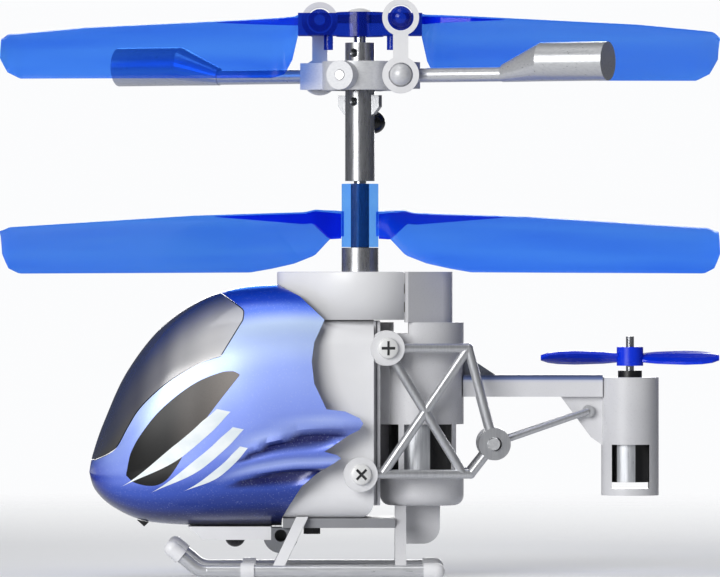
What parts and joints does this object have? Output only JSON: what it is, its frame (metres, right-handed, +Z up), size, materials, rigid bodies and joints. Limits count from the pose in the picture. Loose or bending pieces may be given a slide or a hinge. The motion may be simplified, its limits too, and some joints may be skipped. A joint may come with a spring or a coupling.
{
  "type": "remote control helicopter",
  "caption": "Palm-size coaxial toy helicopter with clear blue rotors, weighted stabiliser bar, pearl blue cabin, grey frame, side truss, tail boom and skids.",
  "frame": {"origin": "on the mast axis, at the height of the ground under the skids", "axes": "+X towards the nose, +Y to the left of the helicopter, +Z up along the mast"},
  "size_m": [0.065, 0.0238, 0.0522],
  "materials": {
    "fairing_paint": "pearl blue paint on moulded ABS",
    "smoked_glass": "smoked polycarbonate",
    "grey_plastic": "pale grey moulded ABS",
    "tray_plastic": "grey moulded ABS",
    "black_plastic": "black moulded plastic",
    "gear_plastic": "natural acetal",
    "brass": "turned brass",
    "motor_can": "drawn steel can",
    "shaft_steel": "ground steel",
    "carbon_tube": "carbon fibre tube",
    "screw_steel": "plated steel",
    "satin_metal": "satin silver",
    "blade_plastic": "clear blue polycarbonate",
    "hub_plastic": "deep blue polycarbonate",
    "tail_blade": "blue polycarbonate",
    "rubber": "moulded rubber",
    "foil": "aluminium laminate pouch",
    "board": "glass epoxy with solder mask"
  },
  "bodies": {
    "airframe": {"nose_fairing": "fairing_paint", "windscreen": "smoked_glass", "fuselage_left": "grey_plastic", "fuselage_right": "grey_plastic", "bottom_tray": "tray_plastic", "belly_tray": "grey_plastic", "nose_foot": "black_plastic", "gear_case": "grey_plastic", "gear_plate": "grey_plastic", "lower_bush": "brass", "mast_bush": "satin_metal", "front_motor": "motor_can", "rear_motor": "motor_can", "motor_shell": "grey_plastic", "motor_cup": "grey_plastic", "battery": "foil", "circuit_board": "board", "infrared_receiver": "black_plastic", "charging_socket": "tray_plastic", "body_screws": "screw_steel", "screw_washers": "grey_plastic", "truss_left": "satin_metal", "truss_right": "satin_metal", "truss_pins": "screw_steel", "tail_struts": "satin_metal", "tail_boom": "grey_plastic", "tail_case": "grey_plastic", "tail_motor": "motor_can", "tail_bush": "black_plastic", "left_skid": "satin_metal", "right_skid": "satin_metal", "skid_sleeves": "grey_plastic", "front_struts": "grey_plastic", "rear_struts": "grey_plastic", "skeg": "grey_plastic"},
    "upper_shaft": {"inner_shaft": "shaft_steel", "lower_gear": "gear_plastic", "mast_tube": "satin_metal", "stop_ball": "rubber", "flybar_pins": "screw_steel", "feather_pin": "shaft_steel"},
    "lower_rotor": {"outer_shaft": "carbon_tube", "upper_gear": "gear_plastic", "lower_sleeve": "blade_plastic", "lower_blades": "blade_plastic"},
    "front_drive": {"front_motor_shaft": "shaft_steel", "front_pinion": "brass"},
    "rear_drive": {"rear_motor_shaft": "shaft_steel", "rear_pinion": "brass"},
    "flybar": {"flybar_yoke": "satin_metal", "flybar_rods": "satin_metal", "flybar_weights": "satin_metal"},
    "upper_rotor": {"upper_hub": "hub_plastic", "hub_cap": "grey_plastic", "upper_blades": "blade_plastic"},
    "left_link": {"link_left": "grey_plastic"},
    "right_link": {"link_right": "grey_plastic"},
    "tail_rotor": {"tail_shaft": "shaft_steel", "tail_rotor": "tail_blade"},
    "power_switch": {"power_switch": "black_plastic"}
  },
  "joints": [
    {"name": "upper_rotor_spin", "type": "hinge", "parent": "airframe", "child": "upper_shaft", "pos_m": [0, 0, 0.02329], "axis": [0, 0, 1], "continuous": true},
    {"name": "lower_rotor_spin", "type": "hinge", "parent": "airframe", "child": "lower_rotor", "pos_m": [0, 0, 0.02762], "axis": [0, 0, 1], "continuous": true},
    {"name": "front_motor_spin", "type": "hinge", "parent": "airframe", "child": "front_drive", "pos_m": [0.0056, 0, 0.02329], "axis": [0, 0, 1], "continuous": true},
    {"name": "rear_motor_spin", "type": "hinge", "parent": "airframe", "child": "rear_drive", "pos_m": [-0.0056, 0, 0.02329], "axis": [0, 0, 1], "continuous": true},
    {"name": "flybar_tilt", "type": "hinge", "parent": "upper_shaft", "child": "flybar", "pos_m": [0, 0, 0.04534], "axis": [0.4226, 0.9063, 0], "range_deg": [-10, 10]},
    {"name": "upper_blade_feather", "type": "hinge", "parent": "upper_shaft", "child": "upper_rotor", "pos_m": [0, 0, 0.0505], "axis": [1, 0, 0], "range_deg": [-13, 13]},
    {"name": "left_link_swing", "type": "hinge", "parent": "flybar", "child": "left_link", "pos_m": [-0.00366, 0.0039, 0.04534], "axis": [0.4226, 0.9063, 0], "range_deg": [-10.5, 10.5]},
    {"name": "right_link_swing", "type": "hinge", "parent": "flybar", "child": "right_link", "pos_m": [0.00366, -0.0039, 0.04534], "axis": [0.4226, 0.9063, 0], "range_deg": [-10.5, 10.5]},
    {"name": "tail_rotor_spin", "type": "hinge", "parent": "airframe", "child": "tail_rotor", "pos_m": [-0.02443, 0, 0.01633], "axis": [0, 0, 1], "continuous": true},
    {"name": "power_switch_slide", "type": "slide", "parent": "airframe", "child": "power_switch", "axis": [-1, 0, 0], "range_m": [0, 0.001]}
  ],
  "couplings": [
    {"joint": "front_motor_spin", "follows": "upper_rotor_spin", "ratio": -6},
    {"joint": "rear_motor_spin", "follows": "lower_rotor_spin", "ratio": -6},
    {"joint": "upper_blade_feather", "follows": "flybar_tilt", "ratio": 1.2732},
    {"joint": "left_link_swing", "follows": "flybar_tilt", "ratio": -1},
    {"joint": "right_link_swing", "follows": "flybar_tilt", "ratio": -1}
  ]
}
